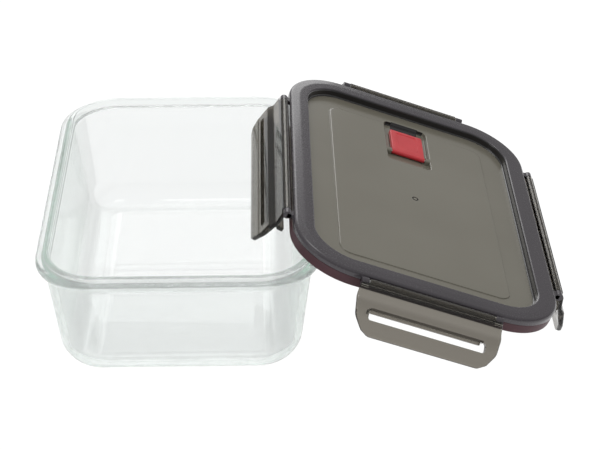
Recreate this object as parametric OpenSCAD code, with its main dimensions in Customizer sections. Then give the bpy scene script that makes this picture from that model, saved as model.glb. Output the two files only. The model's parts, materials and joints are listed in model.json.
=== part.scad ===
// Glass storage box with a clip-down lid. Units are millimetres, +Z is up.
// The origin is the centre of the box's flat base. The lid is drawn closed on
// the box and then swung to where it rests: one side propped on the box's rim,
// the other side down near the table.

/* [Glass box] */
// Width across the rim flange, along X
box_w = 150; // [145:1:155]
// Depth across the rim flange, along Y
box_d = 208; // [200:1:216]
// Height to the top of the sealing lip
box_h = 68; // [66:0.5:72]
// Corner radius of the rim flange, seen from above
box_corner = 34; // [32:1:36]
// How far the body narrows on each side between the flange and the base
box_taper = 7.3; // [5:0.1:9]
// Thickness of the floor
floor_t = 4; // [3:0.5:5]
// Thickness of the wall at the sealing lip
lip_t = 3.5; // [3:0.1:4]
// How far the flange stands out from the wall
flange_out = 4.2; // [4:0.1:4.5]
// Thickness of the flange
flange_t = 4.6; // [4:0.1:5]
// Height of the sealing lip above the flange
lip_step = 2.5; // [2:0.1:3]
// Radius of the outside edge round the base
base_fillet = 17; // [12:1:18]

/* [Lid] */
// How far the lid stands out past the flange on each side
lid_over = 0; // [0:0.1:0.4]
// Height of the lid's top band above the sealing lip
lid_rise = 7.5; // [7:0.5:8]
// Width of the raised band round the lid
band_w = 11.6; // [11:0.1:12.5]
// Depth of the panel below the band
recess = 4.7; // [4:0.1:5]
// Thickness of the lid's walls
shell_t = 1.8; // [1.6:0.1:2]
// Height of the raised area on the panel
plateau_h = 0.6; // [0.4:0.1:0.8]

/* [Clips] */
// Length of the front and back clips
short_clip = 78; // [70:1:82]
// Length of the left and right clips
long_clip = 131; // [110:1:134]
// Distance from the lid's edge out to the hinge pins
pin_out = 3.2; // [3.1:0.1:3.4]
// Radius of the hinge pins
pin_r = 1.5; // [1.2:0.1:1.6]
// How far each clip has swung out: right, back, left, front
clip_swing = [12, 30, 10, 37];

/* [Vent flap] */
// Width of the flap, along X
flap_w = 20.4; // [16:0.2:22]
// Length of the flap, along Y
flap_l = 26; // [24:0.5:27]

/* [Lid at rest] */
// Angle at which the propped lid slopes down to the right
lid_slope = 20.3; // [20:0.1:20.5]
// Length of the arc's arm, which carries the left pin over the box
swing_arm = 68.2; // [68:0.1:68.4]
// Angle of the arc between closed and propped
swing_arc = 170.5; // [170.3:0.1:170.7]

/* [Hidden] */
$fn = 96;

fit = 0.05;         // running clearance round a pin, and round what is bonded in
gap = 0.3;          // clearance between pieces that move

// Glass box heights, and distances out from the corner centres
flange_top = box_h - lip_step;
flange_low = flange_top - flange_t;
lip_out = box_corner - flange_out;
lip_in = lip_out - lip_t;
wall_slope = box_taper / flange_low;

// Lid heights and outline; its corners share the box's corner centres
lid_w = box_w + 2 * lid_over;
lid_d = box_d + 2 * lid_over;
lid_corner = box_corner + lid_over;
lid_top = box_h + lid_rise;
plate_t = 2;        // thickness of the lid's panel and of its band's top
panel_top = lid_top - recess;
panel_low = panel_top - plate_t;
skirt_low = box_h + 3.4;
band_in = lid_corner - band_w;
channel_out = lid_corner - shell_t;
channel_in = band_in + shell_t;
channel_top = lid_top - plate_t;
plateau_w = 97;
plateau_l = 159;
plateau_y = -1.5;
plateau_top = panel_top + plateau_h;
mark_y = -3;
mark_r = 1.7;
mark_deep = 0.25;

// Clip hinges: the pins lie outside the lid's edge, just under its top
pin_z = lid_top - 2.5;
barrel_r = 2.6;
lug_l = 4;
lug_gap = 0.4;
lug_low = skirt_low - pin_z + 0.2;
catch_z = flange_low - gap - pin_z;
catch_in = 2 - pin_out - lid_over - flange_out;
catch_t = 1.8;
window_top = catch_z - catch_t + 0.3;
window_h = 5;
clip_low = -27.2;
clip_lengths = [long_clip, short_clip, long_clip, short_clip];

// Vent: a pocket in the panel, with the flap hinged at its front end
pocket_w = flap_w + 6.4;
pocket_y = 36;
pocket_l = 46;
pocket_r = 3;
pocket_floor = panel_top - 2.2;
pocket_t = 2.4;
flap_t = 2.6;
flap_low = pocket_floor + gap;
flap_pin_r = 0.8;
flap_pin_y = 47.6;
flap_barrel = flap_t / 2;
flap_pin_z = flap_low + flap_barrel;
vent_y = flap_pin_y + 18;
vent_r = 2.1;

// Points on an arc that rounds corner p between its neighbours a and b
function unit(v) = v / norm(v);
function arc_steps(r) = r > 8 ? 12 : r > 2 ? 6 : 4;
function fillet(a, p, b, r) =
    let (u = unit(a - p),
         v = unit(b - p),
         half = acos(u * v) / 2,
         c = p + unit(u + v) * r / sin(half),
         s = p + u * r / tan(half) - c,
         e = p + v * r / tan(half) - c,
         start = atan2(s.y, s.x),
         turn = (atan2(e.y, e.x) - start + 540) % 360 - 180,
         n = arc_steps(r))
    [for (k = [0:n]) c + r * [cos(start + turn * k / n), sin(start + turn * k / n)]];

// An outline whose corners are listed as [x, y, radius]
function rounded(path) =
    let (n = len(path), at = function (i) [path[i % n].x, path[i % n].y])
    [for (i = [0:n - 1]) each path[i].z > 0
        ? fillet(at(i + n - 1), at(i), at(i + 1), path[i].z)
        : [at(i)]];

// Carries a profile round a rounded rectangle. In the profile, x is the
// distance out from the corner centres and y is the height.
module sweep_round(w, d, r) {
    for (i = [0:3]) {
        sx = i == 0 || i == 3 ? 1 : -1;
        sy = i < 2 ? 1 : -1;
        side = i % 2 == 0 ? w - 2 * r : d - 2 * r;
        translate([sx * (w / 2 - r), sy * (d / 2 - r), 0]) {
            rotate(90 * i) rotate_extrude(angle = 90) children();
            rotate(90 * (i + 1)) translate([0, side, 0]) rotate([90, 0, 0])
                linear_extrude(side) children();
        }
    }
}

// A flat plate with round corners, standing on z = 0
module round_plate(w, d, h, r) {
    translate([-w / 2, r - d / 2, 0]) cube([w, d - 2 * r, h]);
    translate([r - w / 2, -d / 2, 0]) cube([w - 2 * r, d, h]);
    for (x = [-1, 1], y = [-1, 1])
        translate([x * (w / 2 - r), y * (d / 2 - r), 0]) cylinder(r = r, h = h);
}

// A cylinder along Y, centred on the origin
module rod_y(r, l) {
    rotate([90, 0, 0]) cylinder(r = r, h = l, center = true);
}

// Moves the closed lid to where it rests, by the left pin's swing
module lid_at_rest() {
    left_pin = -lid_w / 2 - pin_out;
    back = 180 - swing_arc;
    translate([left_pin + swing_arm * (1 + cos(back)), 0, pin_z + swing_arm * sin(back)])
        rotate([0, lid_slope, 0])
            translate([-left_pin, 0, -pin_z])
                children();
}

// Puts a piece at a side's hinge pin: 0 right, 1 back, 2 left, 3 front.
// In the piece, x points out of the lid and y runs along the pin.
module at_hinge(side) {
    out = (side % 2 == 0 ? lid_w : lid_d) / 2 + pin_out;
    rotate(90 * side) translate([out, 0, pin_z]) children();
}

module glass_bowl() {
    inner_base = lip_in - wall_slope * (box_h - floor_t);
    profile = rounded([
        [0, 0, 0],
        [lip_out - box_taper, 0, base_fillet],
        [lip_out, flange_low, 0.8],
        [box_corner, flange_low, 1.6],
        [box_corner, flange_top, 2.2],
        [lip_out, flange_top, 0.8],
        [lip_out, box_h, 1.2],
        [lip_in, box_h, 1.2],
        [inner_base, floor_t, base_fillet - floor_t],
        [0, floor_t, 0]
    ]);
    color("honeydew", 0.45) {
        sweep_round(box_w, box_d, box_corner) polygon(profile);
        translate([box_corner - box_w / 2, box_corner - box_d / 2, 0])
            cube([box_w - 2 * box_corner, box_d - 2 * box_corner, floor_t]);
    }
}

// The two lugs that carry one clip's hinge pin
module hinge_lugs(length) {
    for (end = [-1, 1]) translate([0, end * (length - lug_l) / 2, 0]) {
        rod_y(barrel_r, lug_l);
        translate([-pin_out - shell_t / 2, -lug_l / 2, lug_low])
            cube([pin_out + shell_t / 2, lug_l, 1 - lug_low]);
    }
}

module lid_shell() {
    profile = rounded([
        [0, panel_low, 0],
        [channel_in, panel_low, 0],
        [channel_in, channel_top, 0.6],
        [channel_out, channel_top, 0.6],
        [channel_out, skirt_low, 0.4],
        [lid_corner, skirt_low, 0.4],
        [lid_corner, lid_top, 2.2],
        [band_in, lid_top, 1.6],
        [band_in, panel_top, 1],
        [0, panel_top, 0]
    ]);
    color("dimgray", 0.8) lid_at_rest() difference() {
        union() {
            sweep_round(lid_w, lid_d, lid_corner) polygon(profile);
            translate([lid_corner - lid_w / 2, lid_corner - lid_d / 2, panel_low])
                cube([lid_w - 2 * lid_corner, lid_d - 2 * lid_corner, panel_top - panel_low]);
            translate([0, plateau_y, panel_top - 1])
                round_plate(plateau_w, plateau_l, plateau_h + 1, 7);
            translate([0, pocket_y + pocket_l / 2, pocket_floor - pocket_t])
                round_plate(pocket_w + 2 * shell_t, pocket_l + 2 * shell_t,
                            panel_low - pocket_floor + pocket_t + 1, pocket_r + shell_t);
            for (side = [0:3]) at_hinge(side) hinge_lugs(clip_lengths[side]);
        }
        for (side = [0:3]) at_hinge(side) rod_y(pin_r + fit, clip_lengths[side] + 1);
        difference() {
            translate([0, pocket_y + pocket_l / 2, pocket_floor])
                round_plate(pocket_w, pocket_l, 6, pocket_r);
            flap_ears();
        }
        rotate([0, 0, 90]) translate([flap_pin_y, 0, flap_pin_z])
            rod_y(flap_pin_r + fit, flap_w + 5);
        translate([0, vent_y, 0]) cylinder(r = vent_r, h = lid_top);
        translate([0, mark_y, plateau_top - mark_deep]) cylinder(r = mark_r, h = 1);
    }
}

// Two ears in the pocket that hold the ends of the flap's pin
module flap_ears() {
    ear_w = 3.2;
    ear_r = 1.7;
    for (end = [-1, 1]) translate([end * (flap_w / 2 + 2), flap_pin_y, 0]) {
        translate([-ear_w / 2, -ear_r, 0]) cube([ear_w, 2 * ear_r, flap_pin_z]);
        translate([0, 0, flap_pin_z]) rotate([0, 90, 0])
            cylinder(r = ear_r, h = ear_w, center = true);
    }
}

module lid_gasket() {
    leg_out = lip_in - 1.2;
    leg_in = leg_out - 2.1;
    leg_low = box_h - 6.2;
    profile = rounded([
        [leg_in, panel_low - fit, 0],
        [leg_in, leg_low, 0.9],
        [leg_out, leg_low, 0.9],
        [leg_out, box_h + gap, 0.5],
        [lip_out + 0.5, box_h + gap, 0.5],
        [lip_out + 0.5, flange_top + 0.5, 0.5],
        [lid_corner - gap, flange_top + 0.5, 0.8],
        [lid_corner - gap, skirt_low - fit, 0.3],
        [channel_out - fit, skirt_low - fit, 0],
        [channel_out - fit, channel_top - fit, 0.6],
        [channel_in + fit, channel_top - fit, 0.6],
        [channel_in + fit, panel_low - fit, 0]
    ]);
    color("maroon") lid_at_rest()
        sweep_round(lid_w, lid_d, lid_corner) polygon(profile);
}

// One clip, hanging down in its locked place from a pin along Y
module clip(length) {
    barrel_l = length - 2 * (lug_l + lug_gap);
    notch_l = lug_l + lug_gap + 1;
    window_l = length - 14;
    window_mid = window_top - window_h / 2;
    side_view = rounded([
        [0.5, 0, 0],
        [0.5, -6, 5],
        [2.2, -13, 3],
        [3.8, -18.5, 3],
        [4.6, -22, 2],
        [4.9, clip_low, 0.9],
        [6.9, clip_low, 0.9],
        [7.6, -22.4, 3],
        [6.2, -17.5, 4],
        [4.6, -12.2, 3],
        [2.9, -5.5, 5],
        [barrel_r, 0, 0]
    ]);
    front_view = rounded([
        [-length / 2, barrel_r, 1],
        [length / 2, barrel_r, 1],
        [length / 2 + 2, -11, 10],
        [length / 2 - 0.5, clip_low, 12],
        [0.5 - length / 2, clip_low, 12],
        [-length / 2 - 2, -11, 10]
    ]);
    difference() {
        union() {
            intersection() {
                translate([0, length / 2 + 2, 0]) rotate([90, 0, 0])
                    linear_extrude(length + 4) polygon(side_view);
                translate([-1, 0, 0]) rotate([90, 0, 90]) linear_extrude(10) polygon(front_view);
            }
            rod_y(barrel_r, length);
            translate([catch_in, 8 - length / 2, catch_z - catch_t])
                cube([3 - catch_in, length - 16, catch_t]);
        }
        rod_y(pin_r + fit, length + 2);
        for (end = [-1, 1])
            translate([0, end * (barrel_l + notch_l) / 2, 0]) rod_y(barrel_r + 0.5, notch_l);
        translate([0, 0, window_mid]) rotate([0, 90, 0])
            for (end = [-1, 1]) translate([0, end * (window_l - window_h) / 2, 0])
                cylinder(r = window_h / 2, h = 20, center = true);
        translate([-1, -(window_l - window_h) / 2, window_mid - window_h / 2])
            cube([10, window_l - window_h, window_h]);
    }
}

module swung_clip(side) {
    color("darkkhaki", 0.85) lid_at_rest() at_hinge(side)
        rotate([0, -clip_swing[side], 0]) clip(clip_lengths[side]);
}

module hinge_pin(side) {
    color("silver") lid_at_rest() at_hinge(side) rod_y(pin_r, clip_lengths[side] - 1);
}

module vent_flap() {
    plate_l = flap_l - flap_barrel;
    color("crimson") lid_at_rest() translate([0, flap_pin_y, flap_pin_z]) difference() {
        union() {
            translate([0, plate_l / 2, -flap_barrel]) round_plate(flap_w, plate_l, flap_t, 1);
            translate([-flap_w / 2, 0, -flap_barrel]) cube([flap_w, 4, flap_t]);
            rotate([0, 90, 0]) cylinder(r = flap_barrel, h = flap_w, center = true);
        }
        rotate([0, 90, 0]) cylinder(r = flap_pin_r + fit, h = flap_w + 2, center = true);
        translate([0, plate_l / 2 + 1.5, flap_barrel - 0.3]) round_plate(flap_w - 8, plate_l - 9, 1, 1.5);
        translate([0, vent_y - flap_pin_y, -flap_barrel - 1]) cylinder(r = 1.2, h = 2.2);
    }
}

module vent_flap_pin() {
    color("silver") lid_at_rest() translate([0, flap_pin_y, flap_pin_z])
        rotate([0, 90, 0]) cylinder(r = flap_pin_r, h = flap_w + 4.6, center = true);
}

// The soft plug under the flap, which stops the vent hole
module vent_plug() {
    color("rosybrown") lid_at_rest() translate([0, vent_y, flap_low]) {
        translate([0, 0, -1.6]) cylinder(r = vent_r - 0.5, h = 1.6);
        cylinder(r = 1.2 - fit, h = 1.1);
    }
}

glass_bowl();
lid_shell();
lid_gasket();
swung_clip(0);  // clip_right
swung_clip(1);  // clip_back
swung_clip(2);  // clip_left
swung_clip(3);  // clip_front
hinge_pin(0);  // hinge_pin_right
hinge_pin(1);  // hinge_pin_back
hinge_pin(2);  // hinge_pin_left
hinge_pin(3);  // hinge_pin_front
vent_flap();
vent_flap_pin();
vent_plug();
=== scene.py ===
import json
import math

import bmesh
import bpy
from mathutils import Matrix, Vector


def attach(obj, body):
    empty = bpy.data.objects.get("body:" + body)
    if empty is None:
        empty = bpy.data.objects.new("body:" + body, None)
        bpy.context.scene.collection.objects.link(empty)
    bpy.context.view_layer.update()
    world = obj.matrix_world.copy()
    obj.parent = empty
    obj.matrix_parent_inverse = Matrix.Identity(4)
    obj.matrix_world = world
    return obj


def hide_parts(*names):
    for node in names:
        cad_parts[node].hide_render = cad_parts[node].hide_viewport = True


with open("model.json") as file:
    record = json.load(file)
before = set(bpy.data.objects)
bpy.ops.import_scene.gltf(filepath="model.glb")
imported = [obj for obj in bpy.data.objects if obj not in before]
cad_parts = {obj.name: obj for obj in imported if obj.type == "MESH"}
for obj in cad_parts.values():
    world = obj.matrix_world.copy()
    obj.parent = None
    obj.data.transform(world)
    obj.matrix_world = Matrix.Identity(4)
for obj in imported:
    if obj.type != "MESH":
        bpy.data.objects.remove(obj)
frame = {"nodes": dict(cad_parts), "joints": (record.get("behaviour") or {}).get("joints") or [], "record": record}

scene = bpy.context.scene
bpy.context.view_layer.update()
print("frame loaded")


# Where things are: the lid's pieces are drawn closed on the bowl, in millimetres, and put back to rest.

def jointNamed(name):
    return next(joint for joint in frame["joints"] if joint["name"] == name)


def jointMove(name, degrees):
    joint = jointNamed(name)
    pivot = Matrix.Translation(Vector(joint["pos_m"]))
    turn = Matrix.Rotation(math.radians(degrees), 4, Vector(joint["axis"]))
    return pivot @ turn @ pivot.inverted()


millimetres = Matrix.Scale(0.001, 4)
closing = jointMove("lid_swing", jointNamed("lid_swing")["range_deg"][1]) @ \
    jointMove("lid_level", jointNamed("lid_level")["range_deg"][0])
lidPlace = closing.inverted() @ millimetres

rimCorner = (41.0, 70.0)  # centres that the bowl's and the lid's round corners share
lidHeights = {"top": 75.5, "panel": 70.8, "panelUnder": 68.8, "skirt": 71.4, "channel": 73.5,
              "pin": 73.0}
lidReach = {"edge": 34.0, "bandInner": 22.4, "channelOut": 32.2, "channelIn": 24.2}
clipSides = {  # turn about Z, distance out to the pin, length, how far it hangs open
    "right": (0, 78.2, 131.0, 12.0), "back": (90, 107.2, 78.0, 30.0),
    "left": (180, 78.2, 131.0, 10.0), "front": (270, 107.2, 78.0, 37.0)}
hinge = {"radius": 2.2, "notch": 2.7, "lug": 4.0, "gap": 0.4, "bore": 1.55}
roundMark = {"inner": 1.15, "outer": 1.9, "low": 71.1, "high": 71.8, "y": -3.0}
vent = {"pocketY": 36.0, "pocketLength": 46.0, "pocketWidth": 26.8, "floor": 68.6,
        "flapPinY": 47.6, "flapPinZ": 70.2, "flapWidth": 20.4, "flapLength": 24.7, "flapThick": 2.6}


# Shader maths

class Wire:
    def __init__(self, tree, socket):
        self.tree = tree
        self.socket = socket

    def node(self, kind, output=0, inputs=None, **settings):
        made = self.tree.nodes.new(kind)
        for name, value in settings.items():
            setattr(made, name, value)
        for key, value in (inputs or {}).items():
            if isinstance(value, Wire):
                self.tree.links.new(value.socket, made.inputs[key])
            else:
                made.inputs[key].default_value = value
        return Wire(self.tree, made.outputs[output])

    def maths(self, operation, first, second=0.0):
        return self.node("ShaderNodeMath", inputs={0: first, 1: second}, operation=operation)

    def __add__(self, other):
        return self.maths("ADD", self, other)

    def __rsub__(self, other):
        return self.maths("SUBTRACT", other, self)

    def __mul__(self, other):
        return self.maths("MULTIPLY", self, other)


def newMaterial(name, **values):
    material = bpy.data.materials.new(name)
    material.use_nodes = True
    tree = material.node_tree
    shader = tree.nodes["Principled BSDF"]
    for key, value in values.items():
        shader.inputs[key].default_value = value
    place = Wire(tree, tree.nodes.new("ShaderNodeTexCoord").outputs["Object"])
    return material, shader, place


def connect(wire, shader, name):
    wire.tree.links.new(wire.socket, shader.inputs[name])


def noise(place, scale, detail=3.0, roughness=0.5):
    return place.node("ShaderNodeTexNoise", "Fac", {"Vector": place, "Scale": scale,
                                                   "Detail": detail, "Roughness": roughness})


def spread(wire, low, high, fromLow=0.3, fromHigh=0.7):
    return wire.node("ShaderNodeMapRange", "Result", {
        "Value": wire, "From Min": fromLow, "From Max": fromHigh, "To Min": low, "To Max": high})


def mixColours(factor, first, second):
    return factor.node("ShaderNodeMix", 2, {0: factor, 6: first, 7: second}, data_type="RGBA")


def addBump(shader, height, distance, strength=1.0):
    bump = height.node("ShaderNodeBump", "Normal", {"Height": height, "Distance": distance,
                                                   "Strength": strength})
    connect(bump, shader, "Normal")


def openTo(material, share, tint):  # lets a share of all rays, and every lamp's rays, straight through
    tree = material.node_tree
    shader = tree.nodes["Principled BSDF"]
    clear = tree.nodes.new("ShaderNodeBsdfTransparent")
    clear.inputs["Color"].default_value = tint
    surface = shader.outputs[0]
    for factor in (share, tree.nodes.new("ShaderNodeLightPath").outputs["Is Shadow Ray"]):
        mix = tree.nodes.new("ShaderNodeMixShader")
        if isinstance(factor, float):
            mix.inputs[0].default_value = factor
        else:
            tree.links.new(factor, mix.inputs[0])
        tree.links.new(surface, mix.inputs[1])
        tree.links.new(clear.outputs[0], mix.inputs[2])
        surface = mix.outputs[0]
    tree.links.new(surface, tree.nodes["Material Output"].inputs["Surface"])


def tintInside(material, colour, density):
    tree = material.node_tree
    depth = tree.nodes.new("ShaderNodeVolumeAbsorption")
    depth.inputs["Color"].default_value = colour
    depth.inputs["Density"].default_value = density
    tree.links.new(depth.outputs["Volume"], tree.nodes["Material Output"].inputs["Volume"])


# Materials

def pressedGlass():
    look = {"tint": (0.905, 0.908, 0.910, 1), "depthColour": (0.35, 0.66, 0.50, 1), "depth": 9.0,
            "bend": 1.45, "rippleScale": 12.0, "ripple": 0.00001, "straight": 0.20,
            "straightTint": (0.895, 0.90, 0.90, 1)}
    material, shader, place = newMaterial("pressedGlass", **{
        "Base Color": look["tint"], "Roughness": 0.0, "IOR": look["bend"],
        "Transmission Weight": 1.0})
    addBump(shader, noise(place, look["rippleScale"], 1.0), look["ripple"], 0.1)
    openTo(material, look["straight"], look["straightTint"])
    tintInside(material, look["depthColour"], look["depth"])
    return material


def smokedPlastic(name, dark, light, grain, gloss):
    look = {"bend": 1.49, "flowScale": 14.0, "speckScale": 1400.0}
    material, shader, place = newMaterial(name, **{
        "IOR": look["bend"], "Coat Weight": gloss, "Coat Roughness": 0.08})
    flow = spread(noise(place, look["flowScale"], 2.0), 0.0, 1.0)
    connect(mixColours(flow, dark, light), shader, "Base Color")
    speck = noise(place, look["speckScale"], 2.0)
    connect(spread(speck, grain - 0.03, grain + 0.05), shader, "Roughness")
    addBump(shader, speck, 0.00001, 0.15)
    return material


def clearSmoke():
    look = {"bend": 1.46, "rough": 0.03, "depthColour": (0.30, 0.27, 0.22, 1), "depth": 230.0,
            "straight": 0.12, "tint": (0.34, 0.32, 0.285, 1), "flowScale": 30.0}
    material, shader, place = newMaterial("clearSmoke", **{
        "IOR": look["bend"], "Transmission Weight": 1.0, "Base Color": look["tint"]})
    flow = noise(place, look["flowScale"], 2.0)
    connect(spread(flow, look["rough"], look["rough"] + 0.05), shader, "Roughness")
    addBump(shader, flow, 0.0001, 0.3)
    openTo(material, look["straight"], look["tint"])
    tintInside(material, look["depthColour"], look["depth"])
    return material


def softSilicone(name, dark, light):
    look = {"bend": 1.43, "flowScale": 60.0, "grainScale": 1500.0}
    material, shader, place = newMaterial(name, **{
        "IOR": look["bend"], "Subsurface Weight": 0.08, "Subsurface Scale": 0.001})
    flow = spread(noise(place, look["flowScale"]), 0.0, 1.0)
    connect(mixColours(flow, dark, light), shader, "Base Color")
    grain = noise(place, look["grainScale"], 3.0)
    connect(spread(grain, 0.42, 0.55), shader, "Roughness")
    addBump(shader, grain, 0.00003, 0.3)
    return material


def redPlastic():
    look = {"bend": 1.49, "dark": (0.58, 0.022, 0.032, 1), "light": (0.66, 0.032, 0.042, 1),
            "flowScale": 80.0, "grainScale": 1800.0}
    material, shader, place = newMaterial("redPlastic", **{
        "IOR": look["bend"], "Coat Weight": 0.2, "Coat Roughness": 0.15})
    flow = spread(noise(place, look["flowScale"]), 0.0, 1.0)
    connect(mixColours(flow, look["dark"], look["light"]), shader, "Base Color")
    grain = noise(place, look["grainScale"], 2.0)
    connect(spread(grain, 0.30, 0.40), shader, "Roughness")
    addBump(shader, grain, 0.00002, 0.3)
    return material


def drawnSteel():
    look = {"dark": (0.50, 0.50, 0.48, 1), "light": (0.68, 0.68, 0.66, 1), "stretch": (9.0, 0.6, 9.0),
            "lineScale": 300.0}
    material, shader, place = newMaterial("drawnSteel", **{"Metallic": 1.0})
    streak = place.node("ShaderNodeMapping", "Vector", {"Vector": place, "Scale": look["stretch"]})
    lines = noise(streak, look["lineScale"], 4.0)
    connect(mixColours(lines, look["dark"], look["light"]), shader, "Base Color")
    connect(spread(lines, 0.22, 0.42), shader, "Roughness")
    addBump(shader, lines, 0.00001, 0.4)
    return material


# The lid's three looks, in the order of their slots: panel, band, and painted shade, a near-black copy of the
# smoke plastic on the upright walls and hollows
shellFinishesAndShade = (
    smokedPlastic("panelSmoke", (0.180, 0.168, 0.132, 1), (0.200, 0.188, 0.150, 1), 0.20, 0.3),
    smokedPlastic("bandSmoke", (0.040, 0.034, 0.041, 1), (0.050, 0.042, 0.050, 1), 0.24, 0.30),
    # painted shade: the smoke plastic made near-black to stand in for shade on the band's upright inner wall, the
    # finger scoop and the round mark's groove
    smokedPlastic("recessShadeSmoke", (0.008, 0.007, 0.008, 1), (0.014, 0.012, 0.013, 1), 0.16, 0.4))
panelSlot, bandSlot, recessShadeSlot = range(3)
finishes = {
    "clear_glass": pressedGlass(),
    "smoke_plastic": shellFinishesAndShade[panelSlot],
    "clip_plastic": clearSmoke(),
    "maroon_silicone": softSilicone(
        "maroonSilicone", (0.050, 0.014, 0.020, 1), (0.066, 0.020, 0.028, 1)),
    "clear_silicone": softSilicone(
        "clearSilicone", (0.45, 0.30, 0.28, 1), (0.55, 0.38, 0.35, 1)),
    "red_plastic": redPlastic(),
    "pin_steel": drawnSteel(),
}
for entry in frame["record"]["subparts"]:
    for slot in frame["nodes"][entry["node"]].material_slots:
        slot.material = finishes[entry["material_slot"]]
print("materials made")


# Shapes in millimetres

mergeDistance = 0.0005


def roundedPath(path, closed):  # path of (x, y, radius): an arc replaces a corner with a radius
    points = []
    count = len(path)
    for index, (x, y, radius) in enumerate(path):
        corner = Vector((x, y))
        if radius <= 0 or (not closed and index in (0, count - 1)):
            points.append((x, y))
            continue
        before = (Vector(path[index - 1][:2]) - corner).normalized()
        after = (Vector(path[(index + 1) % count][:2]) - corner).normalized()
        half = before.angle(after) / 2
        middle = corner + (before + after).normalized() * radius / math.sin(half)
        start = corner + before * radius / math.tan(half) - middle
        end = corner + after * radius / math.tan(half) - middle
        first = math.atan2(start.y, start.x)
        turn = (math.atan2(end.y, end.x) - first + 3 * math.pi) % (2 * math.pi) - math.pi
        steps = max(3, math.ceil(abs(turn) / math.radians(12 if radius < 5 else 6)))
        for step in range(steps + 1):
            angle = first + turn * step / steps
            points.append((middle.x + radius * math.cos(angle),
                           middle.y + radius * math.sin(angle)))
    return points


def cornerRing(bm, out, height, corner=rimCorner, steps=18, middle=(0.0, 0.0)):
    ring = []
    for quarter in range(4):
        signX = 1 if quarter in (0, 3) else -1
        signY = 1 if quarter < 2 else -1
        for step in range(steps + 1):
            angle = math.radians(90 * (quarter + step / steps))
            ring.append(bm.verts.new((middle[0] + signX * corner[0] + out * math.cos(angle),
                                      middle[1] + signY * corner[1] + out * math.sin(angle), height)))
    return ring


def joinRings(bm, rings, closed=False):
    pairs = list(zip(rings, rings[1:]))
    if closed:
        pairs.append((rings[-1], rings[0]))
    for lower, upper in pairs:
        for index in range(len(lower)):
            after = (index + 1) % len(lower)
            bm.faces.new((lower[index], lower[after], upper[after], upper[index]))


def fillBetween(bm, outer, inner):  # a flat face with a hole in it
    bm.edges.ensure_lookup_table()
    edges = []
    for ring in (outer, inner):
        for index, vertex in enumerate(ring):
            edges.append(bm.edges.get((vertex, ring[(index + 1) % len(ring)])) or
                         bm.edges.new((vertex, ring[(index + 1) % len(ring)])))
    bmesh.ops.triangle_fill(bm, use_beauty=True, edges=edges)


def addRod(bm, radius, length, axis, middle, steps=32):
    turn = Vector((0, 0, 1)).rotation_difference(Vector(axis)).to_matrix().to_4x4()
    bmesh.ops.create_cone(bm, cap_ends=True, segments=steps, radius1=radius, radius2=radius,
                          depth=length, matrix=Matrix.Translation(middle) @ turn)


def addBlock(bm, low, high):
    size = [b - a for a, b in zip(low, high)]
    middle = [(a + b) / 2 for a, b in zip(low, high)]
    bmesh.ops.create_cube(bm, size=1.0, matrix=Matrix.Translation(middle) @ Matrix.Diagonal((*size, 1)))


def cappedStack(bm, rings):
    joinRings(bm, rings)
    bm.faces.new(rings[0])
    bm.faces.new(rings[-1])


def meshFrom(bm, name):
    bmesh.ops.recalc_face_normals(bm, faces=bm.faces)
    mesh = bpy.data.meshes.new(name)
    bm.to_mesh(mesh)
    bm.free()
    return mesh


def combined(base, others, name):  # others is a list of (operation, mesh)
    objects = [bpy.data.objects.new(name + "Base", base)]
    scene.collection.objects.link(objects[0])
    for operation, mesh in others:
        tool = bpy.data.objects.new(name + "Tool", mesh)
        scene.collection.objects.link(tool)
        objects.append(tool)
        modifier = objects[0].modifiers.new(operation, "BOOLEAN")
        modifier.operation = operation
        modifier.solver = "EXACT"
        modifier.object = tool
    graph = bpy.context.evaluated_depsgraph_get()
    result = bpy.data.meshes.new_from_object(objects[0].evaluated_get(graph))
    for made in objects:
        bpy.data.objects.remove(made)
    bm = bmesh.new()
    bm.from_mesh(result)
    bmesh.ops.remove_doubles(bm, verts=bm.verts, dist=mergeDistance)
    bmesh.ops.dissolve_degenerate(bm, edges=bm.edges, dist=mergeDistance)
    bm.to_mesh(result)
    bm.free()
    return result


def finishPiece(mesh, name, body, nodes, slotName, place, materials=(), sharp=32):
    for material in materials or (finishes[slotName],):
        mesh.materials.append(material)
    mesh.transform(place)
    mesh.polygons.foreach_set("use_smooth", [True] * len(mesh.polygons))
    mesh.set_sharp_from_angle(angle=math.radians(sharp))
    mesh.name = name
    piece = bpy.data.objects.new(name, mesh)
    scene.collection.objects.link(piece)
    even = piece.modifiers.new("evenShading", "WEIGHTED_NORMAL")
    even.keep_sharp = True
    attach(piece, body)
    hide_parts(*nodes)
    return piece


# The glass bowl

def buildBowl():
    bowl = {"baseOut": 22.5, "lipOut": 29.8, "lipIn": 26.3, "flangeOut": 34.0, "flangeLow": 60.9,
            "flangeTop": 65.5, "top": 68.0, "floor": 4.0, "baseRound": 17.0}
    slope = (bowl["lipOut"] - bowl["baseOut"]) / bowl["flangeLow"]
    innerBase = bowl["lipIn"] - slope * (bowl["top"] - bowl["floor"])
    profile = roundedPath([
        (4.0, 0.0, 0),
        (bowl["baseOut"], 0.0, bowl["baseRound"]),
        (bowl["lipOut"], bowl["flangeLow"], 1.2),
        (bowl["flangeOut"], bowl["flangeLow"], 1.8),
        (bowl["flangeOut"], bowl["flangeTop"], 2.2),
        (bowl["lipOut"], bowl["flangeTop"], 1.0),
        (bowl["lipOut"], bowl["top"], 1.4),
        (bowl["lipIn"], bowl["top"], 1.5),
        (innerBase, bowl["floor"], bowl["baseRound"] - bowl["floor"]),
        (3.0, bowl["floor"], 0)], closed=False)
    bm = bmesh.new()
    cappedStack(bm, [cornerRing(bm, out, height, steps=24) for out, height in profile])
    finishPiece(meshFrom(bm, "glassBowl"), "glassBowl", "bowl", ["glass_bowl"], "clear_glass",
                millimetres, sharp=60)


# The lid's shell

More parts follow.
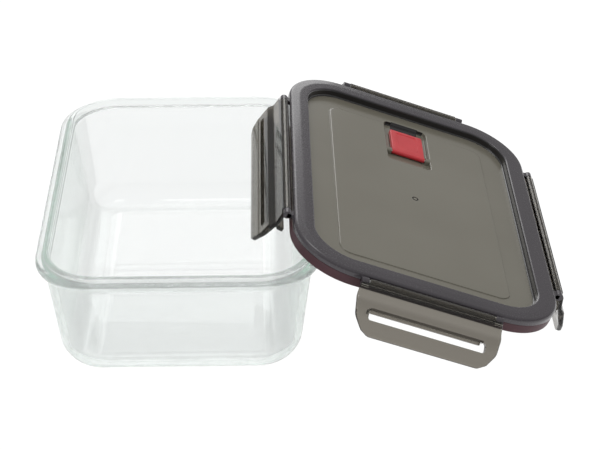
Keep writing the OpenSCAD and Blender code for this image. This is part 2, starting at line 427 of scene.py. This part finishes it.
def buildShell():
    plateau = {"width": 97.0, "length": 159.0, "round": 7.0, "y": -1.5,
               "edge": ((0.55, 0.0), (0.12, 0.06), (-0.02, 0.22), (-0.10, 0.44), (-0.30, 0.56),
                        (-0.7, 0.6))}
    top, panel = lidHeights["top"], lidHeights["panel"]
    inner, edge = lidReach["bandInner"], lidReach["edge"]
    bm = bmesh.new()
    profile = roundedPath([
        (inner - 3.0, panel, 0),
        (inner + 0.1, panel, 0.9),
        (inner, top - 0.15, 1.3),
        (inner + 5.5, top, 14.0),
        (edge, top - 0.35, 1.9),
        (edge, lidHeights["skirt"], 0.5),
        (lidReach["channelOut"], lidHeights["skirt"], 0.3),
        (lidReach["channelOut"], lidHeights["channel"], 0.6),
        (lidReach["channelIn"], lidHeights["channel"], 0.6),
        (lidReach["channelIn"], lidHeights["panelUnder"], 0.3),
        (lidReach["channelIn"] - 4.0, lidHeights["panelUnder"], 0)], closed=False)
    rings = [cornerRing(bm, out, height) for out, height in profile]
    joinRings(bm, rings)
    bm.faces.new(rings[-1])
    corner = (plateau["width"] / 2 - plateau["round"], plateau["length"] / 2 - plateau["round"])
    step = [cornerRing(bm, plateau["round"] + spare, panel + height, corner, 10, (0.0, plateau["y"]))
            for spare, height in plateau["edge"]]
    fillBetween(bm, rings[0], step[0])
    joinRings(bm, step)
    bm.faces.new(step[-1])
    mesh = combined(meshFrom(bm, "lidShell"), shellCuts(), "lidShell")
    bm = bmesh.new()
    bm.from_mesh(mesh)
    moulded = set(bm.faces)
    addLugs(bm)
    addEars(bm)
    for face in bm.faces:
        face.material_index = shellFinishOrShade(face.calc_center_median(), face not in moulded)
    finishPiece(meshFrom(bm, "lidShell"), "lidShell", "lid", ["lid_shell"], "smoke_plastic", lidPlace,
                shellFinishesAndShade)


def shellCuts():  # the vent pocket with its boss and finger scoop, the vent hole, and the round mark
    pocket = {"corner": 3.0, "boss": 4.8, "bossLow": 66.2, "bossTop": 69.6,
              "walls": ((2.4, vent["floor"]), (2.75, vent["floor"] + 0.1), (3.0, vent["floor"] + 0.4),
                        (3.0, 71.0), (3.25, 71.3), (3.7, 71.46), (3.7, 74.0))}
    scoop = {"radius": 6.4, "width": 17.0, "y": 77.0, "z": 73.3}
    ventHole = {"radius": 2.1, "length": 12.0, "middle": (0, 65.6, 68.0)}
    middleY = vent["pocketY"] + vent["pocketLength"] / 2
    middle = (0, middleY)
    corner = (vent["pocketWidth"] / 2 - pocket["corner"], vent["pocketLength"] / 2 - pocket["corner"])
    boss, well, hollow, hole, ring = (bmesh.new() for part in range(5))
    cappedStack(boss, [cornerRing(boss, pocket["boss"], z, corner, 8, middle)
                       for z in (pocket["bossLow"], pocket["bossTop"])])
    cappedStack(well, [cornerRing(well, out, z, corner, 8, middle) for out, z in pocket["walls"]])
    addRod(hollow, scoop["radius"], scoop["width"], (1, 0, 0), (0, scoop["y"], scoop["z"]), 48)
    addRod(hole, ventHole["radius"], ventHole["length"], (0, 0, 1), ventHole["middle"], 32)
    section = ((roundMark["inner"], roundMark["low"]), (roundMark["inner"], roundMark["high"]),
               (roundMark["outer"], roundMark["high"]), (roundMark["outer"], roundMark["low"]))
    rings = [cornerRing(ring, out, z, (0, 0), 12, (0, roundMark["y"])) for out, z in section]
    joinRings(ring, rings, closed=True)
    bmesh.ops.remove_doubles(ring, verts=ring.verts, dist=0.001)
    return [("UNION", meshFrom(boss, "boss")), ("DIFFERENCE", meshFrom(well, "pocket")),
            ("DIFFERENCE", meshFrom(hollow, "scoop")), ("DIFFERENCE", meshFrom(hole, "hole")),
            ("DIFFERENCE", meshFrom(ring, "mark"))]


def addEars(bm):  # they hold the flap's pin
    ear = {"radius": 1.7, "width": 3.2, "gap": 2.0, "sunk": 0.3}
    for end in (-1, 1):
        x = end * (vent["flapWidth"] / 2 + ear["gap"])
        half = ear["width"] / 2
        addRod(bm, ear["radius"], ear["width"], (1, 0, 0), (x, vent["flapPinY"], vent["flapPinZ"]), 24)
        addBlock(bm, (x - half, vent["flapPinY"] - ear["radius"], vent["floor"] - ear["sunk"]),
                 (x + half, vent["flapPinY"] + ear["radius"], vent["flapPinZ"]))


def shellFinishOrShade(middle, added):
    area = {"lugs": 20.0, "band": lidReach["bandInner"] - 0.9, "wall": lidReach["bandInner"] + 0.4,
            "belowPanel": lidHeights["panel"] - 0.1, "scoopHalf": 12.0, "scoopFront": 73.0,
            "scoopBack": 84.0, "scoopLow": 66.9, "mark": roundMark["outer"] + 0.2, "markLow": 69.0,
            "markHigh": lidHeights["panel"] + 0.56}
    out = math.hypot(max(abs(middle.x) - rimCorner[0], 0), max(abs(middle.y) - rimCorner[1], 0))
    if added:  # lugs lie outside the lid's edge, and ears in the pocket
        return bandSlot if out > area["lugs"] else panelSlot
    if out > area["band"]:
        # the band's upright inner wall gets the painted shade
        return recessShadeSlot if out < area["wall"] and middle.z > area["belowPanel"] else bandSlot
    inScoop = (abs(middle.x) < area["scoopHalf"] and area["scoopFront"] < middle.y < area["scoopBack"]
               and area["scoopLow"] < middle.z < area["belowPanel"])
    inMark = (math.hypot(middle.x, middle.y - roundMark["y"]) < area["mark"]
              and area["markLow"] < middle.z < area["markHigh"])
    # the finger scoop and the round mark's groove get the painted shade
    return recessShadeSlot if inScoop or inMark else panelSlot


def hingePlace(turn, out):
    return Matrix.Rotation(math.radians(turn), 4, "Z") @ Matrix.Translation((out, 0, lidHeights["pin"]))


def addLugs(bm):
    arm = {"in": -4.1, "low": -1.4, "high": 1.0}
    for turn, out, length, swing in clipSides.values():
        for end in (-1, 1):
            made = bmesh.new()
            y = end * (length - hinge["lug"]) / 2
            addRod(made, hinge["radius"], hinge["lug"], (0, 1, 0), (0, y, 0))
            addBlock(made, (arm["in"], y - hinge["lug"] / 2, arm["low"]),
                     (0, y + hinge["lug"] / 2, arm["high"]))
            made.transform(hingePlace(turn, out))
            carried = bpy.data.meshes.new("lug")
            made.to_mesh(carried)
            made.free()
            bm.from_mesh(carried)
            bpy.data.meshes.remove(carried)


# The gasket: its section is swept round the lid by a node tree

def sweepTree(material):
    tree = bpy.data.node_groups.new("gasketSweep", "GeometryNodeTree")
    tree.interface.new_socket("Section", in_out="INPUT", socket_type="NodeSocketGeometry")
    for name, kind in (("Width", "Float"), ("Depth", "Float"), ("Corner radius", "Float"),
                       ("Corner steps", "Int")):
        tree.interface.new_socket(name, in_out="INPUT", socket_type="NodeSocket" + kind)
    tree.interface.new_socket("Gasket", in_out="OUTPUT", socket_type="NodeSocketGeometry")
    entry, leave = tree.nodes.new("NodeGroupInput"), tree.nodes.new("NodeGroupOutput")
    outline = tree.nodes.new("GeometryNodeCurvePrimitiveQuadrilateral")
    rounding = tree.nodes.new("GeometryNodeFilletCurve")
    rounding.mode = "POLY"
    upright = tree.nodes.new("GeometryNodeSetCurveNormal")
    upright.mode = "Z_UP"
    section = tree.nodes.new("GeometryNodeMeshToCurve")
    sweep = tree.nodes.new("GeometryNodeCurveToMesh")
    real = tree.nodes.new("GeometryNodeRealizeInstances")
    paint = tree.nodes.new("GeometryNodeSetMaterial")
    paint.inputs["Material"].default_value = material
    link = tree.links.new
    link(entry.outputs["Width"], outline.inputs["Width"])
    link(entry.outputs["Depth"], outline.inputs["Height"])
    link(outline.outputs[0], rounding.inputs["Curve"])
    link(entry.outputs["Corner radius"], rounding.inputs["Radius"])
    link(entry.outputs["Corner steps"], rounding.inputs["Count"])
    link(rounding.outputs[0], upright.inputs["Curve"])
    link(upright.outputs[0], sweep.inputs["Curve"])
    link(entry.outputs["Section"], section.inputs["Mesh"])
    link(section.outputs[0], sweep.inputs["Profile Curve"])
    link(sweep.outputs[0], real.inputs["Geometry"])
    link(real.outputs[0], paint.inputs["Geometry"])
    link(paint.outputs[0], leave.inputs["Gasket"])
    return tree


def buildGasket():
    gasket = {"skirtOut": 33.7, "skirtLow": 66.0, "skirtHigh": 71.35, "channelOut": 32.15,
              "channelTop": 73.45, "channelIn": 24.25, "under": 68.75, "legIn": 23.0, "legOut": 25.1,
              "legLow": 61.8, "neck": 0.3, "neckUp": 2.0, "bead": 0.1, "beadUp": 2.6, "neckTop": 3.2,
              "seat": 68.3, "lipOut": 30.3, "pathOut": 29.5, "cornerSteps": 20}
    outline = roundedPath([
        (gasket["legIn"], gasket["under"], 0.3),
        (gasket["legIn"], gasket["legLow"], 0.9),
        (gasket["legOut"], gasket["legLow"], 0.9),
        (gasket["legOut"] - gasket["neck"], gasket["legLow"] + gasket["neckUp"], 0.5),
        (gasket["legOut"] + gasket["bead"], gasket["legLow"] + gasket["beadUp"], 0.3),
        (gasket["legOut"] - gasket["neck"], gasket["legLow"] + gasket["neckTop"], 0.5),
        (gasket["legOut"], gasket["seat"], 0.5),
        (gasket["lipOut"], gasket["seat"], 0.5),
        (gasket["lipOut"], gasket["skirtLow"], 0.5),
        (gasket["skirtOut"], gasket["skirtLow"], 0.8),
        (gasket["skirtOut"], gasket["skirtHigh"], 0.3),
        (gasket["channelOut"], gasket["skirtHigh"], 0),
        (gasket["channelOut"], gasket["channelTop"], 0.6),
        (gasket["channelIn"], gasket["channelTop"], 0.6),
        (gasket["channelIn"], gasket["under"], 0)], closed=True)
    base = bpy.data.meshes.new("gasketSection")
    points = [(out - gasket["pathOut"], -height, 0) for out, height in outline]  # the sweep's y is down
    edges = [(index, (index + 1) % len(points)) for index in range(len(points))]
    base.from_pydata(points, edges, [])
    holder = bpy.data.objects.new("gasketSection", base)
    scene.collection.objects.link(holder)
    tree = sweepTree(finishes["maroon_silicone"])
    modifier = holder.modifiers.new("sweep", "NODES")
    modifier.node_group = tree
    values = {"Width": 2 * (rimCorner[0] + gasket["pathOut"]),
              "Depth": 2 * (rimCorner[1] + gasket["pathOut"]),
              "Corner radius": gasket["pathOut"], "Corner steps": gasket["cornerSteps"]}
    for item in tree.interface.items_tree:
        if item.name in values and item.in_out == "INPUT":
            modifier[item.identifier] = values[item.name]
    graph = bpy.context.evaluated_depsgraph_get()
    swept = bpy.data.meshes.new_from_object(holder.evaluated_get(graph))
    bpy.data.objects.remove(holder)
    bm = bmesh.new()
    bm.from_mesh(swept)
    bmesh.ops.remove_doubles(bm, verts=bm.verts, dist=mergeDistance)
    finishPiece(meshFrom(bm, "lidGasket"), "lidGasket", "lid", ["lid_gasket"], "maroon_silicone",
                lidPlace)


# The clips

def across(line, z):  # how far out a falling line is at a height
    for (xa, za), (xb, zb) in zip(line, line[1:]):
        if zb <= z <= za:
            return xa + (xb - xa) * (z - za) / (zb - za)
    return line[-1][0] if z < 0 else line[0][0]


def clipWall(length):  # rounded rows from the hinge down to the tip, in clip coordinates: x is out, z up
    wall = {"top": 0.6, "tip": -27.2, "tipRound": 0.9, "endSteps": 8,
            "rows": {0.6, -1.5, -3.0, -4.5, -6.0, -7.5, -9.0, -10.5, -12.0, -13.5, -15.0, -16.0},
            "outer": [(2.6, 0.6, 0), (2.9, -7.2, 1.5), (5.2, -10.0, 1.6), (5.7, -13.0, 3),
                      (6.3, -17.5, 6), (7.6, -22.4, 5), (6.9, -27.2, 0)],
            "inner": [(0.3, 0.6, 0), (0.5, -6.0, 6), (2.2, -13.0, 5), (3.8, -18.5, 5),
                      (4.6, -22.0, 3), (4.9, -27.2, 0)]}
    outer, inner = (roundedPath(wall[name], closed=False) for name in ("outer", "inner"))
    side = roundedPath([(length / 2, 1.0, 0), (length / 2 + 0.9, -9.0, 10), (length / 2 - 0.2, -18.0, 8),
                        (length / 2 - 4.6, -24.6, 3), (length / 2 - 9.0, wall["tip"], 4),
                        (0.0, wall["tip"], 0)], closed=False)
    bends = {round(z, 3) for y, z in side if y > 6 and z > wall["tip"] + 0.02}
    heights = [z for z in sorted(bends | wall["rows"], reverse=True) if z <= wall["top"]]
    bm = bmesh.new()
    rings = []
    for z in heights + [wall["tip"]]:
        shrink = max(0.0, 1.0 - (z - wall["tip"]) / wall["tipRound"])
        thick = across(outer, z) - across(inner, z)
        middle = (across(outer, z) + across(inner, z)) / 2
        radius = thick / 2 * math.sqrt(max(1 - shrink * shrink, 0.05))
        half = across(side, z) - radius
        ring = []
        for end in (1, -1):
            for step in range(wall["endSteps"] + 1):
                angle = math.radians(90 - 180 * step / wall["endSteps"])
                ring.append(bm.verts.new((middle + end * radius * math.sin(angle),
                                          end * (half + radius * math.cos(angle)), z)))
        rings.append(ring)
    cappedStack(bm, rings)
    return meshFrom(bm, "clip")


def clipMesh(length):
    slot = {"top": -13.7, "high": 5.0 if length < 100 else 3.2, "round": 1.4, "spare": 14.0,
            "depth": (-2.0, 14.0)}
    catch = {"in": -5.4, "out": 3.0, "top": -12.4, "thick": 2.4, "spare": 8.0, "edge": 0.4}
    barrelLength = length - 2 * (hinge["lug"] + hinge["gap"])
    barrel, ledge, window, notch, bore = (bmesh.new() for part in range(5))
    addRod(barrel, hinge["radius"], barrelLength, (0, 1, 0), (0, 0, 0), 40)
    addBlock(ledge, (catch["in"], catch["spare"] - length / 2, catch["top"] - catch["thick"]),
             (catch["out"], length / 2 - catch["spare"], catch["top"]))
    bmesh.ops.bevel(ledge, geom=ledge.edges, offset=catch["edge"], segments=3, affect="EDGES",
                    profile=0.5)
    wide, high = (length - slot["spare"]) / 2, slot["high"] / 2
    outline = roundedPath([(y, z, slot["round"]) for y, z in
                           ((wide, high), (-wide, high), (-wide, -high), (wide, -high))], closed=True)
    cappedStack(window, [[window.verts.new((x, y, slot["top"] - high + z)) for y, z in outline]
                         for x in slot["depth"]])
    reach = hinge["lug"] + hinge["gap"] + 1  # beyond the clip's end
    for end in (-1, 1):
        addRod(notch, hinge["notch"], reach, (0, 1, 0), (0, end * (barrelLength + reach) / 2, 0), 40)
    addRod(bore, hinge["bore"], length + 2, (0, 1, 0), (0, 0, 0), 24)
    parts = [("UNION", barrel), ("UNION", ledge), ("DIFFERENCE", window), ("DIFFERENCE", notch),
             ("DIFFERENCE", bore)]
    return combined(clipWall(length), [(way, meshFrom(part, "clipPart")) for way, part in parts], "clip")


def buildClips():
    for side, (turn, out, length, swing) in clipSides.items():
        place = lidPlace @ hingePlace(turn, out) @ Matrix.Rotation(math.radians(-swing), 4, "Y")
        finishPiece(clipMesh(length), side + "Clip", side + "_clip", ["clip_" + side], "clip_plastic",
                    place, sharp=40)


# The vent flap

def buildFlap():
    half = vent["flapThick"] / 2
    flap = {"corner": 1.2, "dishInX": 5.0, "dishInY": 4.6, "dishY": 1.0, "play": 0.02,
            "sides": ((0.8, -half), (1.2, -half + 0.4), (1.2, half - 0.5), (1.05, half - 0.15),
                      (0.7, half)),
            "dish": ((1.3, half), (1.05, half - 0.04), (0.9, half - 0.25), (0.6, half - 0.3))}
    width, length = vent["flapWidth"], vent["flapLength"]
    corner = (width / 2 - flap["corner"], length / 2 - flap["corner"])
    inset = (width / 2 - flap["dishInX"], length / 2 - flap["dishInY"])
    bm = bmesh.new()
    rings = [cornerRing(bm, out, z, corner, 6, (0, length / 2)) for out, z in flap["sides"]]
    joinRings(bm, rings)
    bm.faces.new(rings[0])
    dish = [cornerRing(bm, out, z, inset, 6, (0, length / 2 + flap["dishY"])) for out, z in flap["dish"]]
    fillBetween(bm, rings[-1], dish[0])
    joinRings(bm, dish)
    bm.faces.new(dish[-1])
    addRod(bm, half, width - flap["play"], (1, 0, 0), (0, 0, 0), 32)
    place = lidPlace @ Matrix.Translation((0, vent["flapPinY"], vent["flapPinZ"]))
    finishPiece(meshFrom(bm, "ventFlap"), "ventFlap", "vent", ["vent_flap"], "red_plastic", place)


# The studio

def buildStudio():
    studio = {"half": 3.0, "floor": (0.05, 0.05, 0.05, 1), "glow": 1.0, "horizon": 0.25, "zenith": 0.80,
              "target": (0.06, 0.0, 0.03)}
    lights = {"topLight": ((0.1, 0.35, 1.1), 0.35, 1.6), "backLight": ((0.12, 1.5, 0.62), 0.8, 4.2),
              "sideLight": ((-1.1, -0.5, 0.9), 0.5, 1.2)}  # place, size in metres, watts
    mesh = bpy.data.meshes.new("studioFloor")
    half = studio["half"]
    mesh.from_pydata([(-half, -half, 0), (half, -half, 0), (half, half, 0), (-half, half, 0)], [],
                     [(0, 1, 2, 3)])
    floor = bpy.data.objects.new("studioFloor", mesh)
    scene.collection.objects.link(floor)
    mesh.materials.append(newMaterial("studioFloor", **{
        "Base Color": studio["floor"], "Roughness": 0.9, "Emission Color": (1, 1, 1, 1),
        "Emission Strength": studio["glow"]})[0])
    world = bpy.data.worlds.new("studioWorld")
    scene.world = world
    world.use_nodes = True
    tree = world.node_tree
    way = Wire(tree, tree.nodes.new("ShaderNodeTexCoord").outputs["Generated"])
    height = way.node("ShaderNodeSeparateXYZ", "Z", {"Vector": way})
    seen = Wire(tree, tree.nodes.new("ShaderNodeLightPath").outputs["Is Camera Ray"])
    soft = spread(height, studio["horizon"], studio["zenith"], 0.0, 1.0)
    strength = soft + seen * (1.0 - soft)
    tree.links.new(strength.socket, tree.nodes["Background"].inputs["Strength"])
    tree.nodes["Background"].inputs["Color"].default_value = (1, 1, 1, 1)
    for name, (place, size, power) in lights.items():
        addLight(name, place, studio["target"], size, power)


def addLight(name, place, target, size, power):
    light = bpy.data.lights.new(name, "AREA")
    light.shape = "SQUARE"
    light.size = size
    light.energy = power
    lamp = bpy.data.objects.new(name, light)
    lamp.location = place
    lamp.rotation_mode = "QUATERNION"
    lamp.rotation_quaternion = (Vector(target) - Vector(place)).to_track_quat("-Z", "Y")
    scene.collection.objects.link(lamp)


def buildCamera():
    view = {"place": (0.0476, -0.8368, 0.5586), "pitch": 31.92, "yaw": -1.213, "lens": 104.12}
    data = bpy.data.cameras.new("camera")
    data.lens = view["lens"]
    data.sensor_width = 36.0
    camera = bpy.data.objects.new("camera", data)
    camera.location = view["place"]
    camera.rotation_euler = (math.radians(90 - view["pitch"]), 0, math.radians(view["yaw"]))
    scene.collection.objects.link(camera)
    scene.camera = camera


buildBowl()
print("bowl built")
buildShell()
buildGasket()
print("lid built")
buildClips()
buildFlap()
print("clips and flap built")
buildStudio()
buildCamera()
scene.view_settings.view_transform = "Standard"
print("studio ready")
